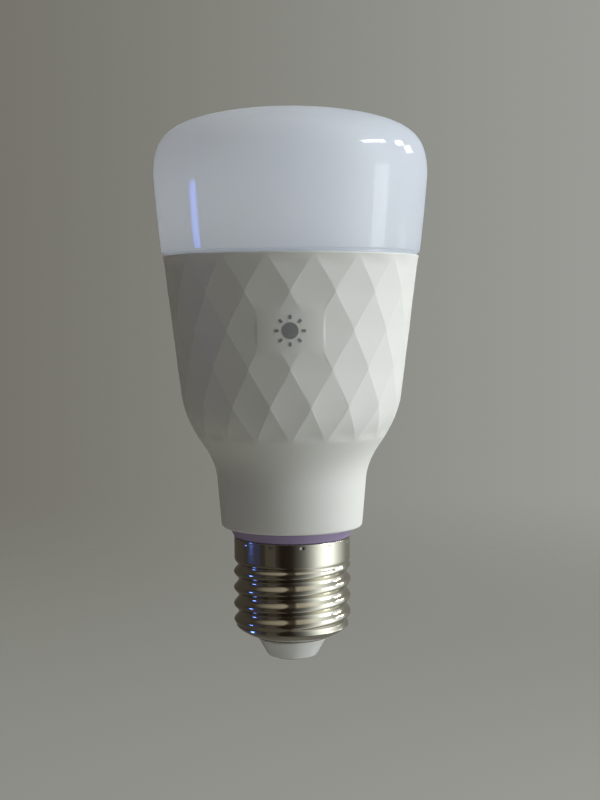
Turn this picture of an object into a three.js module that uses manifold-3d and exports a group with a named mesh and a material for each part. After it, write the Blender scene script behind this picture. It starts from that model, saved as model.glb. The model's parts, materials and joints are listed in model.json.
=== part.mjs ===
// Smart light bulb on an E27 screw cap: opal dome, diamond-faceted housing, lamp board, driver, cap.
// Millimetres, +Z up along the bulb's axis. The origin is the middle of the centre contact's flat
// end, and the printed mark faces -Y.

import * as THREE from 'three';
import { mergeVertices } from 'three/addons/utils/BufferGeometryUtils.js';
import Module from 'manifold-3d';

const wasm = await Module();
wasm.setup();

// ---- Driving dimensions -------------------------------------------------------------------------

// Outside of the bulb
const capLength = 27.2; // contact end to the screw shell's rim
const collarShow = 2.1; // coloured collar seen between the shell and the housing
const housingHeight = 60.1; // foot to rim
const rimRadius = 28.2;
const flankDrop = 3.7; // radius lost from the rim to the shoulder
const flankHeight = 30.4; // rim down to the shoulder, where the waist starts
const neckRadius = 16.5;
const neckHeight = 9.7; // foot up to the end of the waist curve
const neckTaper = 0.8; // radius lost from there to the foot
const footRounding = 0.9;
const seamGap = 0.7; // shadow gap between the housing's rim and the dome's edge
const domeHeight = 31.3; // dome's edge to its crown
const domeBulge = 1.8; // widest radius over the rim's radius
const domeEdgeStep = 0.25; // dome's edge over the rim's radius
const domeFlank = 17.4; // dome's edge up to its widest ring
const lipRecess = 0.35; // lip that bears on the rim, in from the rim's radius

// Walls and clearances
const housingWall = 1.6;
const domeWall = 1.4;
const slideFit = 0.2; // sliding fits between round pieces
const looseFit = 0.35; // places that are only kept apart
const seatGap = 0.05; // two faces that rest on each other

// Diamond facets and the smooth window that carries the mark
const facetsAround = 18;
const facetHalfHeight = 8;
const facetRows = 4;
const windowWidth = 14.4;
const windowHeight = 9.5;
const markRadius = 3.2;
const inkThickness = 0.1;

// E27 cap
const shellWall = 0.35;
const shellSkirtRadius = 12.95;
const skirtHeight = 5.9;
const threadMajorRadius = 13.1;
const threadMinorRadius = 12.06;
const threadPitch = 3.629;
const threadFoot = 7; // height where the thread meets the cone
const crestAtFront = 19.8; // height of one crest on the -Y side
const shellEdgeRadius = 8.4;
const shellEdgeHeight = 4.2;
const insulatorFaceRadius = 5.6;
const insulatorFaceHeight = 0.35;
const contactRadius = 4.6;
const contactThickness = 0.9;
const stemRadius = 1;

// Inside
const cupWall = 1.2;
const deckDepth = 5.8; // housing's rim down to the top of the cup's deck
const cupSkirt = 24; // cup's side wall below its deck
const padThickness = 0.3;
const lampBoardThickness = 1.6;
const sleeveWall = 1;
const driverBoardThickness = 1.2;
const boardClearance = 1; // board edge to the bore around it
const partGap = 1; // between rows of parts on the driver board
const tongueWidth = 9; // part of the driver board that stands through the lamp board
const moduleWidth = 15;
const moduleThickness = 0.8;
const moduleSetBack = 6; // wireless board behind the driver board
const whiteLamps = 10;
const colourLamps = 5;
const screwCount = 3;

// Round pieces that nest share one number of sides
const SIDES = 40;
const THIN_WALL_SIDES = 28;
const SMALL_SIDES = 16;

// ---- Levels and radii worked out from them ------------------------------------------------------

const footZ = capLength + collarShow;
const rimZ = footZ + housingHeight;
const domeEdgeZ = rimZ + seamGap;
const crownZ = domeEdgeZ + domeHeight;
const shoulderZ = rimZ - flankHeight;
const shoulderRadius = rimRadius - flankDrop;
const neckZ = footZ + neckHeight;
const footRadius = neckRadius - neckTaper;
const deckZ = rimZ - deckDepth;
const padZ = deckZ + padThickness;
const lampFaceZ = padZ + lampBoardThickness;
const cupLowZ = deckZ - cupSkirt;
const skirtFootZ = capLength - skirtHeight;
const threadMeanRadius = (threadMajorRadius + threadMinorRadius) / 2;
const threadAmplitude = (threadMajorRadius - threadMinorRadius) / 2;

const point = (radius, height) => new THREE.Vector2(radius, height);

// ---- Solids -------------------------------------------------------------------------------------

// Positions only, shared corners merged, no flat triangles, faces pointing out.
function tidied(geometry) {
  const bare = geometry.clone();
  bare.deleteAttribute('normal');
  bare.deleteAttribute('uv');
  const merged = mergeVertices(bare, 1e-4);
  const kept = [];
  let volume = 0;
  const index = merged.index.array;
  const corner = (i) => new THREE.Vector3().fromBufferAttribute(merged.attributes.position, i);
  for (let i = 0; i < index.length; i += 3) {
    const [a, b, c] = [index[i], index[i + 1], index[i + 2]];
    if (a === b || b === c || c === a) continue;
    volume += corner(a).dot(corner(b).cross(corner(c)));
    kept.push(a, b, c);
  }
  if (volume < 0) kept.reverse();
  merged.setIndex(kept);
  return merged;
}

function toManifold(geometry) {
  const clean = tidied(geometry);
  return new wasm.Manifold(new wasm.Mesh({
    numProp: 3,
    vertProperties: new Float32Array(clean.attributes.position.array),
    triVerts: new Uint32Array(clean.index.array),
  }));
}

function fromManifold(solid) {
  const mesh = solid.getMesh();
  const geometry = new THREE.BufferGeometry();
  geometry.setAttribute('position', new THREE.BufferAttribute(mesh.vertProperties, 3));
  geometry.setIndex(new THREE.BufferAttribute(mesh.triVerts, 1));
  return geometry;
}

function cutFrom(body, ...tools) {
  let solid = toManifold(body);
  for (const tool of tools) solid = solid.subtract(toManifold(tool));
  return fromManifold(solid);
}

// Turned piece: profile points are (radius, height).
function turned(profile, sides = SIDES) {
  return new THREE.LatheGeometry(profile, sides).rotateX(Math.PI / 2);
}

function closedLoop(profile) {
  return [...profile, profile[0].clone()];
}

function tube(inner, outer, low, high, sides = SIDES) {
  return turned(closedLoop([point(inner, low), point(outer, low), point(outer, high),
    point(inner, high)]), sides);
}

function rod(radius, low, high, sides = SMALL_SIDES) {
  return turned([point(0, low), point(radius, low), point(radius, high), point(0, high)], sides);
}

// Box from its middle in X and Y and its lowest height.
function block(width, depth, height, x = 0, y = 0, low = 0) {
  return new THREE.BoxGeometry(width, depth, height).translate(x, y, low + height / 2);
}

// Flat outline drawn in X and Z, made thick along Y about the middle plane.
function upright(shape, thickness) {
  const options = { depth: thickness, bevelEnabled: false, curveSegments: 6 };
  const solid = new THREE.ExtrudeGeometry(shape, options);
  return solid.rotateX(Math.PI / 2).translate(0, thickness / 2, 0);
}

function outlineOf(corners) {
  return new THREE.Shape(corners.map(([x, z]) => point(x, z)));
}

function cornerArc(middleRadius, middleHeight, rounding, fromAngle, toAngle, steps = 3) {
  const points = [];
  for (let i = 0; i <= steps; i += 1) {
    const angle = THREE.MathUtils.degToRad(fromAngle + ((toAngle - fromAngle) * i) / steps);
    points.push(point(middleRadius + rounding * Math.cos(angle),
      middleHeight + rounding * Math.sin(angle)));
  }
  return points;
}

// ---- Outline of the housing ---------------------------------------------------------------------

const neckLine = new THREE.LineCurve(point(footRadius, footZ), point(neckRadius, neckZ));
const waistCurve = new THREE.CubicBezierCurve(
  point(neckRadius, neckZ),
  point(neckRadius + 0.45, neckZ + 8.6),
  point(shoulderRadius - 1.4, shoulderZ - 9.9),
  point(shoulderRadius, shoulderZ),
);
const flankLine = new THREE.LineCurve(point(shoulderRadius, shoulderZ), point(rimRadius, rimZ));

// Radius of the housing at a height, by halving the curve that spans it.
function housingRadius(height) {
  let curve = flankLine;
  if (height < shoulderZ) curve = waistCurve;
  if (height < neckZ) curve = neckLine;
  let low = 0;
  let high = 1;
  for (let i = 0; i < 24; i += 1) {
    const middle = (low + high) / 2;
    if (curve.getPoint(middle).y < height) low = middle;
    else high = middle;
  }
  return curve.getPoint((low + high) / 2).x;
}

const boreRadius = (height) => housingRadius(height) - housingWall;
const cupRadius = (height) => boreRadius(height) - slideFit;

function heights(low, high, steps) {
  return Array.from({ length: steps + 1 }, (_, i) => low + ((high - low) * i) / steps);
}

// ---- Dome ---------------------------------------------------------------------------------------

// Control points of the shoulder, as shares of the widest radius and of the rise to the crown
const shoulderControls = [[1, 0], [1, 0.34], [0.955, 0.78], [0.82, 0.81], [0.36, 1], [0, 1]];

// Points along a Bezier curve with any number of control points.
function bezierPoints(controls, steps) {
  return heights(0, 1, steps).map((t) => {
    let row = controls;
    while (row.length > 1) row = row.slice(1).map((next, i) => row[i].clone().lerp(next, t));
    return row[0];
  });
}

// Outline of the dome from its edge to its crown, moved inwards by a wall.
function domeOutline(inset, flankSteps, shoulderSteps) {
  const edge = point(rimRadius + domeEdgeStep - inset, domeEdgeZ);
  const widest = point(rimRadius + domeBulge - inset, domeEdgeZ + domeFlank);
  const below = widest.clone().setY(widest.y - domeFlank * 0.15);
  const rise = crownZ - inset - widest.y;
  const shoulder = shoulderControls.map(([out, up]) => point(widest.x * out, widest.y + rise * up));
  return [
    ...bezierPoints([edge, below, widest], flankSteps),
    ...bezierPoints(shoulder, shoulderSteps).slice(1),
  ];
}

const skirtLowZ = rimZ - 3.4;
const skirtOuter = boreRadius(skirtLowZ) - slideFit;
const skirtInner = skirtOuter - domeWall;

function makeDiffuser() {
  const bearing = rimRadius - lipRecess;
  return turned([
    ...domeOutline(0, 2, 7).reverse(),
    point(bearing, domeEdgeZ),
    point(bearing, rimZ + seatGap),
    point(skirtOuter, rimZ + seatGap),
    point(skirtOuter, skirtLowZ),
    point(skirtInner, skirtLowZ),
    ...domeOutline(domeWall, 1, 4),
  ]);
}

const lampBoardRadius = skirtInner - slideFit;

function makeSealant() {
  const inner = lampBoardRadius + slideFit / 2;
  const outer = boreRadius(deckZ) - looseFit;
  return tube(inner, outer, deckZ + seatGap, skirtLowZ - seatGap);
}

// ---- Housing ------------------------------------------------------------------------------------

// Lattice columns stand twice as close as the facets, so that every facet has a middle column.
const latticeColumns = facetsAround * 2;
const latticeRowZ = (row) => rimZ - row * facetHalfHeight;
const windowZ = latticeRowZ(2);

// Rows from the foot up: rounded foot, smooth neck and waist, then the lattice.
function housingRows() {
  const foot = cornerArc(footRadius - footRounding, footZ + footRounding, footRounding, -90, 0, 2);
  const lowestLattice = latticeRowZ(facetRows);
  const smooth = [...heights(neckZ, lowestLattice, 9)].map((z) => point(housingRadius(z), z));
  const lattice = [];
  for (let row = facetRows - 1; row >= 0; row -= 1) {
    lattice.push(point(housingRadius(latticeRowZ(row)), latticeRowZ(row)));
  }
  return [...foot, ...smooth, ...lattice];
}

// Facet middles move in to the chord between their left and right corners, and the cells' diagonals
// follow the ridges.
function makeFacetedBody() {
  const rows = housingRows();
  const profile = [point(0, footZ), ...rows, point(0, rimZ)];
  const body = new THREE.LatheGeometry(profile, latticeColumns);
  const stride = profile.length;
  const rowOf = (j) => rows.length - j;
  const onRidge = (column, row) => (column + row) % 2 === 1;
  const chordShare = Math.cos(Math.PI / facetsAround);
  const position = body.attributes.position;
  for (let column = 0; column <= latticeColumns; column += 1) {
    for (let j = 1; j < stride - 1; j += 1) {
      const row = rowOf(j);
      if (row <= 0 || row >= facetRows || onRidge(column, row)) continue;
      const i = column * stride + j;
      position.setX(i, position.getX(i) * chordShare);
      position.setZ(i, position.getZ(i) * chordShare);
    }
  }
  const index = [];
  for (let column = 0; column < latticeColumns; column += 1) {
    for (let j = 0; j < stride - 1; j += 1) {
      const a = column * stride + j;
      const b = a + stride;
      const straight = onRidge(column, rowOf(j));
      if (straight) index.push(a, b, b + 1, a, b + 1, a + 1);
      else index.push(a, b, a + 1, b + 1, a + 1, b);
    }
  }
  body.setIndex(index);
  return body.rotateX(Math.PI / 2);
}

function smoothSolid(low, high, steps, growth = 0) {
  const wall = heights(low, high, steps).map((z) => point(housingRadius(z) + growth, z));
  return turned([point(0, low), ...wall, point(0, high)], latticeColumns * 2);
}

function makeWindowPad() {
  const low = windowZ - windowHeight / 2;
  const reach = rimRadius;
  const frontBox = block(windowWidth, reach, windowHeight, 0, -reach, low);
  const round = smoothSolid(low - 1, low + windowHeight + 1, 2);
  return toManifold(round).intersect(toManifold(frontBox));
}

function makeHousing() {
  const bore = [
    point(0, footZ - 1),
    point(boreRadius(footZ), footZ - 1),
    ...heights(footZ, neckZ, 1).map((z) => point(boreRadius(z), z)),
    ...heights(neckZ, shoulderZ, 8).slice(1).map((z) => point(boreRadius(z), z)),
    point(boreRadius(rimZ), rimZ),
    point(boreRadius(rimZ), rimZ + 1),
    point(0, rimZ + 1),
  ];
  const outside = toManifold(makeFacetedBody()).add(makeWindowPad());
  return fromManifold(outside.subtract(toManifold(turned(bore))));
}

// Printed sun: a disc with eight short rays, cut to the curve of the window.
function makePrintedMark() {
  const rays = 8;
  const discShare = 0.55;
  const halfRay = Math.PI / 26;
  const outline = [];
  for (let ray = 0; ray < rays; ray += 1) {
    const angle = (ray * 2 * Math.PI) / rays;
    const spread = [[-2 * halfRay, discShare], [-halfRay, discShare], [-halfRay / 2, 1],
      [halfRay / 2, 1], [halfRay, discShare]];
    for (const [turn, share] of spread) {
      const reach = markRadius * share;
      outline.push([reach * Math.cos(angle + turn), reach * Math.sin(angle + turn)]);
    }
  }
  const stamp = upright(outlineOf(outline), rimRadius).translate(0, -rimRadius, windowZ);
  const low = windowZ - markRadius - 1;
  const high = windowZ + markRadius + 1;
  const outer = toManifold(smoothSolid(low, high, 2, seatGap + inkThickness));
  const inner = toManifold(smoothSolid(low - 1, high + 1, 2, seatGap));
  return fromManifold(outer.subtract(inner).intersect(toManifold(stamp)));
}

// ---- Collar, screw shell, insulator and contact -------------------------------------------------

const collarRadius = boreRadius(footZ) - slideFit;
const collarTopZ = footZ + 7;
const collarWall = 1.5;
const spigotRadius = shellSkirtRadius - shellWall - slideFit;
const collarBore = spigotRadius - collarWall;

// Spigot inside the shell's skirt, a ledge on the shell's rim, and a cone up into the housing.
function makeCollar() {
  const spigotLowZ = skirtFootZ + 0.6;
  const seat = capLength + seatGap;
  const ledge = { radius: shellSkirtRadius + 0.15, height: 0.25 };
  const coneTopZ = footZ - 0.5;
  return turned(closedLoop([
    point(collarBore, spigotLowZ),
    point(spigotRadius, spigotLowZ),
    point(spigotRadius, seat),
    point(ledge.radius, seat),
    point(ledge.radius, seat + ledge.height),
    point(collarRadius, coneTopZ),
    point(collarRadius, collarTopZ),
    point(collarBore, collarTopZ),
  ]));
}

// Share of the full thread depth at a height: it runs out at both ends.
function threadShare(height) {
  const runIn = THREE.MathUtils.smoothstep(height, threadFoot, threadFoot + threadPitch / 2);
  const runOut = 1 - THREE.MathUtils.smoothstep(height, skirtFootZ - 1, skirtFootZ + 0.2);
  return runIn * runOut;
}

// Thin pressed shell. Its thread is the right-hand wave that moves both faces together.
function makeScrewShell() {
  const rowsPerTurn = 5;
  const threadSteps = Math.round(((skirtFootZ - threadFoot) / threadPitch) * rowsPerTurn);
  const outer = [
    point(shellEdgeRadius, shellEdgeHeight),
    ...heights(threadFoot, skirtFootZ - 0.2, threadSteps).map((z) => point(threadMeanRadius, z)),
    point(shellSkirtRadius, skirtFootZ + 0.4),
    point(shellSkirtRadius, capLength),
  ];
  const coneLean = 0.3;
  const inner = outer.map(({ x, y }, i) => point(x - shellWall, i < 2 ? y + coneLean : y));
  inner[0].y = shellEdgeHeight;
  const shell = new THREE.LatheGeometry(closedLoop([...outer, ...inner.reverse()]), THIN_WALL_SIDES);
  const position = shell.attributes.position;
  for (let i = 0; i < position.count; i += 1) {
    const [x, height, z] = [position.getX(i), position.getY(i), position.getZ(i)];
    const turn = Math.atan2(x, z) / (2 * Math.PI);
    const phase = (height - crestAtFront) / threadPitch - turn;
    const wave = threadAmplitude * threadShare(height) * Math.cos(2 * Math.PI * phase);
    const grown = 1 + wave / Math.hypot(x, z);
    position.setX(i, x * grown);
    position.setZ(i, z * grown);
  }
  return shell.rotateX(Math.PI / 2);
}

const contactSeatZ = contactThickness + seatGap;
const shelfThickness = 0.7; // insulator's disc inside the shell
const insulatorTopZ = threadFoot + 0.1 + shelfThickness;
const stemRise = 1.2; // contact's stem above the insulator, where the lead is welded
const stemTopZ = insulatorTopZ + stemRise;

// White cone between the contact and the shell, with a throat that passes through the shell's edge.
function makeInsulator() {
  const throat = shellEdgeRadius - shellWall - looseFit;
  const throatHeight = 1;
  const throatLowZ = shellEdgeHeight - 0.1;
  const shelf = threadMinorRadius - shellWall - looseFit - 1;
  const recess = contactRadius + slideFit;
  const stemHole = stemRadius + slideFit;
  return turned(closedLoop([
    point(stemHole, contactSeatZ),
    point(recess, contactSeatZ),
    point(recess, insulatorFaceHeight),
    point(insulatorFaceRadius, insulatorFaceHeight),
    point(insulatorFaceRadius + 0.7, insulatorFaceHeight + 1),
    point(throat, throatLowZ),
    point(throat, throatLowZ + throatHeight),
    point(shelf, insulatorTopZ - shelfThickness),
    point(shelf, insulatorTopZ),
    point(stemHole, insulatorTopZ),
  ]), THIN_WALL_SIDES);
}

function makeContact() {
  const rounding = 0.3;
  return turned([
    point(0, 0),
    ...cornerArc(contactRadius - rounding, rounding, rounding, -90, 0, 2),
    point(contactRadius, contactThickness),
    point(stemRadius, contactThickness),
    point(stemRadius, stemTopZ),
    point(0, stemTopZ),
  ], THIN_WALL_SIDES);
}

// ---- Cup, pad, lamp board and lamps -------------------------------------------------------------

const slotFit = 0.3;
const tongueSlot = [tongueWidth + 2 * slotFit, driverBoardThickness + 2 * slotFit, 0, 0];
const moduleSlot = [moduleWidth + 2 * slotFit, moduleThickness + 2 * slotFit, 0, moduleSetBack];
const screwRing = lampBoardRadius - 2.4;
const screwHead = 1.7;
const screwShank = 1;

// Slots for both upright boards and holes for the screws, cut through a flat piece.
function boardCuts(low, high, extra) {
  const tools = [tongueSlot, moduleSlot].map(([width, depth, x, y]) => (
    block(width + 2 * extra, depth + 2 * extra, high - low + 2, x, y, low - 1)));
  for (let i = 0; i < screwCount; i += 1) {
    const [x, y] = onCircle(screwRing, screwAngle(i));
    tools.push(rod(screwShank + slideFit, low - 1, high + 1, 12).translate(x, y, 0));
  }
  return tools;
}

function onCircle(radius, degrees) {
  const angle = THREE.MathUtils.degToRad(degrees);
  return [radius * Math.cos(angle), radius * Math.sin(angle)];
}

function screwAngle(i) {
  return 30 + (i * 360) / screwCount;
}

// Pressed aluminium cup: flat deck on top, side wall against the housing's bore.
function makeCup() {
  const underDeck = deckZ - cupWall;
  const cup = turned([
    point(0, deckZ),
    point(cupRadius(deckZ), deckZ),
    point(cupRadius(cupLowZ), cupLowZ),
    point(cupRadius(cupLowZ) - cupWall, cupLowZ),
    point(cupRadius(underDeck) - cupWall, underDeck),
    point(0, underDeck),
  ]);
  return cutFrom(cup, ...boardCuts(underDeck, deckZ, 1));
}

function makeThermalPad() {
  const pad = rod(lampBoardRadius - 0.6, deckZ, padZ, SIDES);
  return cutFrom(pad, ...boardCuts(deckZ, padZ, 0.6));
}

function makeLampBoard() {
  const board = rod(lampBoardRadius, padZ, lampFaceZ, SIDES);
  return cutFrom(board, ...boardCuts(padZ, lampFaceZ, 0));
}

function makeScrew() {
  const length = lampFaceZ - deckZ + cupWall + 3;
  return turned([
    point(0, -length),
    point(screwShank, -length),
    point(screwShank, 0),
    point(screwHead, 0),
    point(screwHead, 0.5),
    point(screwHead * 0.7, 1),
    point(0, 1.1),
  ], 12).translate(0, 0, seatGap);
}

// ---- Driver board and what it carries -----------------------------------------------------------

const driverFace = driverBoardThickness / 2 + seatGap;
const driverLowZ = stemTopZ + 5; // room for the leads to bend
const driverWideZ = shoulderZ - 2; // where the board has its full width
const driverTopZ = deckZ - cupWall - 3; // full-width part, clear of the cup's deck

function makeDriverBoard() {
  const low = collarBore - boardClearance;
  const wide = sleeveRadius(driverWideZ) - sleeveWall - 2 * boardClearance;
  const lean = wide - low;
  const tongue = tongueWidth / 2;
  const tongueTop = lampFaceZ + 1;
  const leftSide = [[-tongue, tongueTop], [-tongue, driverTopZ], [-wide, driverTopZ],
    [-wide, driverWideZ], [-low, driverWideZ - lean / 2], [-low, driverLowZ]];
  const rightSide = leftSide.map(([x, z]) => [-x, z]).reverse();
  return upright(outlineOf([...leftSide, ...rightSide]), driverBoardThickness);
}

// Insulating sleeve between the driver and the cup, narrowed to the neck below it.
function sleeveRadius(height) {
  const inCup = cupRadius(Math.max(height, cupLowZ)) - cupWall - looseFit;
  return Math.min(boreRadius(height) - 2 * slideFit, inCup);
}

function makeSleeve() {
  const low = collarTopZ + looseFit;
  const high = deckZ - cupWall - 4;
  const levels = [...heights(low, cupLowZ, 6), high];
  const outer = levels.map((z) => point(sleeveRadius(z), z));
  const inner = levels.map((z) => point(sleeveRadius(z) - sleeveWall, z)).reverse();
  return turned(closedLoop([...outer, ...inner]), THIN_WALL_SIDES);
}

function canCapacitor(radius, length) {
  return turned([point(0, 0), point(radius, 0), point(radius, length - 0.6),
    point(radius - 0.6, length), point(0, length)], SMALL_SIDES);
}

const coreWidth = 14;
const coreHeight = 12;
const coreDepth = 6;
const coreLeg = 4;
const coreYoke = 2.5;
const coreWindow = 3;

function makeTransformerCore() {
  const windows = [-1, 1].map((side) => (
    block(coreWindow, coreDepth + 2, coreHeight - 2 * coreYoke,
      (side * (coreLeg + coreWindow)) / 2, 0, coreYoke)));
  return cutFrom(block(coreWidth, coreDepth, coreHeight), ...windows);
}

function makeTransformerWinding() {
  const height = coreHeight - 2 * coreYoke - 2 * slotFit;
  const build = coreWindow - 2 * slotFit;
  const holeWidth = coreLeg + 2 * slotFit;
  const holeDepth = coreDepth + 2 * slotFit;
  const outer = block(holeWidth + 2 * build, holeDepth + 2 * build, height);
  const hole = block(holeWidth, holeDepth, height + 2, 0, 0, -1);
  return cutFrom(outer, hole).translate(0, 0, coreYoke + slotFit);
}

function makeInductor(radius, height) {
  const waist = radius * 0.75;
  const flange = 1.2;
  return turned([point(0, 0), point(radius, 0), point(radius, flange), point(waist, flange),
    point(waist, height - flange), point(radius, height - flange), point(radius, height),
    point(0, height)], SMALL_SIDES);
}

// Round lead along a smooth path, with 8 sides.
function makeLead(stops, radius) {
  const path = new THREE.CatmullRomCurve3(stops.map((stop) => new THREE.Vector3(...stop)));
  const section = outlineOf(Array.from({ length: 8 }, (_, i) => onCircle(radius, i * 45)));
  return new THREE.ExtrudeGeometry(section, { steps: 10, extrudePath: path });
}

// ---- Materials ----------------------------------------------------------------------------------

const finish = (color, roughness, metalness = 0) => (
  new THREE.MeshStandardMaterial({ color, roughness, metalness }));
const opal = finish(0xdcdce2, 0.12);
const whiteHousing = finish(0xdedcd6, 0.55);
const lilac = finish(0xa291b5, 0.4);
const nickel = finish(0xa79e94, 0.18, 1);
const whitePlastic = finish(0xe4e2dc, 0.4);
const greyInk = finish(0x6f6c68, 0.6);
const aluminium = finish(0xb9bcc0, 0.4, 1);
const greyPaste = finish(0x9a9da1, 0.8);
const boardWhite = finish(0xeceeea, 0.5);
const boardGreen = finish(0x1d5a35, 0.5);
const blackBody = finish(0x17181a, 0.5);
const phosphor = finish(0xe7c94a, 0.4);
const clearLamp = finish(0xd9d6cc, 0.3);
const silicone = finish(0xe6e4dc, 0.5);
const steel = finish(0x8d9094, 0.35, 1);
const darkSleeve = finish(0x2b2c2f, 0.45);
const tape = finish(0xd3a53a, 0.5);
const orangeFilm = finish(0xb5522a, 0.4);
const redLead = finish(0xa3231f, 0.45);
const blackLead = finish(0x1c1c1e, 0.45);

// ---- Assembly -----------------------------------------------------------------------------------

const group = new THREE.Group();
group.name = 'smart_light_bulb';

function add(name, geometry, material, x = 0, y = 0, z = 0, turnZ = 0) {
  const mesh = new THREE.Mesh(tidied(geometry), material);
  mesh.name = name;
  mesh.position.set(x, y, z);
  mesh.rotation.z = turnZ;
  group.add(mesh);
}

function addLamps() {
  const whiteRing = screwRing - 4;
  for (let i = 0; i < whiteLamps; i += 1) {
    const degrees = 18 + (i * 360) / whiteLamps;
    const [x, y] = onCircle(whiteRing, degrees);
    const turn = THREE.MathUtils.degToRad(degrees);
    add(`white_led_${i + 1}`, block(2.8, 3.5, 0.7), phosphor, x, y, lampFaceZ + seatGap, turn);
  }
  const colourRing = whiteRing - 6.2;
  for (let i = 0; i < colourLamps; i += 1) {
    const degrees = 90 + (i * 360) / colourLamps;
    const [x, y] = onCircle(colourRing, degrees);
    const turn = THREE.MathUtils.degToRad(degrees);
    add(`colour_led_${i + 1}`, block(3.5, 3.5, 1.4), clearLamp, x, y, lampFaceZ + seatGap, turn);
  }
}

function addScrews() {
  for (let i = 0; i < screwCount; i += 1) {
    const [x, y] = onCircle(screwRing, screwAngle(i));
    add(`board_screw_${i + 1}`, makeScrew(), steel, x, y, lampFaceZ);
  }
}

// Front (-Y) face of the driver board, in rows from the leads up: the first row fits in the collar,
// the next two stand in the neck above it, and the tall cans stand where the board is wide.
function addFrontParts() {
  const onFace = (depth) => -driverFace - depth / 2;
  const fuse = { radius: 1.8, height: 9 };
  const varistor = { radius: 3.4, thickness: 3 };
  const firstRow = driverLowZ + 3 * partGap;
  add('fuse_resistor', rod(fuse.radius, 0, fuse.height), boardGreen, -4.2, onFace(2 * fuse.radius),
    firstRow);
  add('surge_varistor', new THREE.CylinderGeometry(varistor.radius, varistor.radius,
    varistor.thickness, SMALL_SIDES), tape, 3, onFace(varistor.thickness),
  firstRow + varistor.radius + partGap);

  const film = { width: 9, depth: 4.5, height: 8 };
  const bridge = { width: 6, depth: 2.2, height: 5 };
  const secondRow = Math.max(firstRow + fuse.height, collarTopZ) + partGap;
  add('film_capacitor', block(film.width, film.depth, film.height), orangeFilm, 4,
    onFace(film.depth), secondRow);
  add('bridge_rectifier', block(bridge.width, bridge.depth, bridge.height), blackBody, -5.5,
    onFace(bridge.depth), secondRow);

  const coil = { radius: 3.6, height: 8 };
  const thirdRow = secondRow + film.height + partGap;
  add('filter_inductor', makeInductor(coil.radius, coil.height), blackBody, 2.6,
    onFace(2 * coil.radius), thirdRow);

  const bulkCan = { radius: 5, height: 16 };
  const smoothingCan = { radius: 4, height: 12 };
  const topRow = Math.max(thirdRow + coil.height + partGap, driverWideZ + 2 * partGap);
  add('input_capacitor', canCapacitor(bulkCan.radius, bulkCan.height), darkSleeve, -8.5,
    onFace(2 * bulkCan.radius), topRow);
  add('output_capacitor', canCapacitor(smoothingCan.radius, smoothingCan.height), darkSleeve, 10,
    onFace(2 * smoothingCan.radius), topRow);
}

// Back (+Y) face: the chip in the neck, then the transformer, with the transistor beside it.
function addBackParts() {
  const coreY = driverFace + coreDepth / 2 + coreWindow;
  const coreLowZ = driverWideZ - coreHeight / 2;
  add('transformer_core', makeTransformerCore(), blackBody, 0, coreY, coreLowZ);
  add('transformer_winding', makeTransformerWinding(), tape, 0, coreY, coreLowZ);
  const chip = { width: 5, depth: 1.5, height: 4 };
  add('driver_chip', block(chip.width, chip.depth, chip.height), blackBody, 0,
    driverFace + chip.depth / 2, coreLowZ - chip.height - 2 * partGap);
  const transistor = { width: 6.5, depth: 2.3, height: 6 };
  add('switch_transistor', block(transistor.width, transistor.depth, transistor.height), blackBody,
    11, driverFace + transistor.depth / 2, coreLowZ + coreHeight);
}

// Wireless board through the lamp board: its antenna end stands among the lamps, and a header under
// the deck joins it to the driver board.
function addWirelessModule() {
  const height = 20;
  const antennaRise = 6.5;
  const low = lampFaceZ + antennaRise - height;
  add('wireless_board', block(moduleWidth, moduleThickness, height), boardGreen, 0, moduleSetBack, low);
  const can = { width: 11, depth: 2.2, height: 8 };
  const canY = moduleSetBack + moduleThickness / 2 + can.depth / 2 + seatGap;
  add('wireless_shield', block(can.width, can.depth, can.height), steel, 0, canY, low + partGap);
  const header = { width: 12, height: 2.5 };
  const span = moduleSetBack - moduleThickness / 2 - seatGap - driverFace;
  add('module_header', block(header.width, span, header.height), blackBody, 0, driverFace + span / 2,
    low + partGap / 2);
}

// The live lead rises from the contact's stem, the neutral lead runs out to the shell's thread.
function addLeads() {
  const radius = 0.55;
  const boardEdge = driverLowZ - looseFit;
  const live = [[0, 0, stemTopZ + looseFit], [-0.8, -0.3, stemTopZ + 2], [-4, -0.6, boardEdge - 2],
    [-5, -0.2, boardEdge]];
  add('live_lead', makeLead(live, radius), redLead);
  const tipRadius = threadMinorRadius - shellWall - radius - looseFit;
  const neutral = [[6, 0, boardEdge], [7, -0.4, boardEdge - 2.5], [tipRadius - 1, -0.4, boardEdge - 3.2],
    [tipRadius, -0.4, boardEdge - 1]];
  add('neutral_lead', makeLead(neutral, radius), blackLead);
}

add('diffuser', makeDiffuser(), opal);
add('diffuser_sealant', makeSealant(), silicone);
add('housing', makeHousing(), whiteHousing);
add('printed_mark', makePrintedMark(), greyInk);
add('heat_sink_cup', makeCup(), aluminium);
add('thermal_pad', makeThermalPad(), greyPaste);
add('lamp_board', makeLampBoard(), boardWhite);
addLamps();
addScrews();
add('driver_sleeve', makeSleeve(), whitePlastic);
add('driver_board', makeDriverBoard(), boardGreen);
addFrontParts();
addBackParts();
addWirelessModule();
addLeads();
add('neck_collar', makeCollar(), lilac);
add('screw_shell', makeScrewShell(), nickel);
add('cap_insulator', makeInsulator(), whitePlastic);
add('centre_contact', makeContact(), nickel);

export default group;
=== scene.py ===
# Looks for the smart light bulb: fine meshes for what shows, procedural finishes for every piece,
# a plain floor, a background in painted shade, soft window light from the right and a camera at the
# photograph's angle.
# Heights and radii are in millimetres until a mesh is made; Blender's own units are metres.

import json
import math

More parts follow.
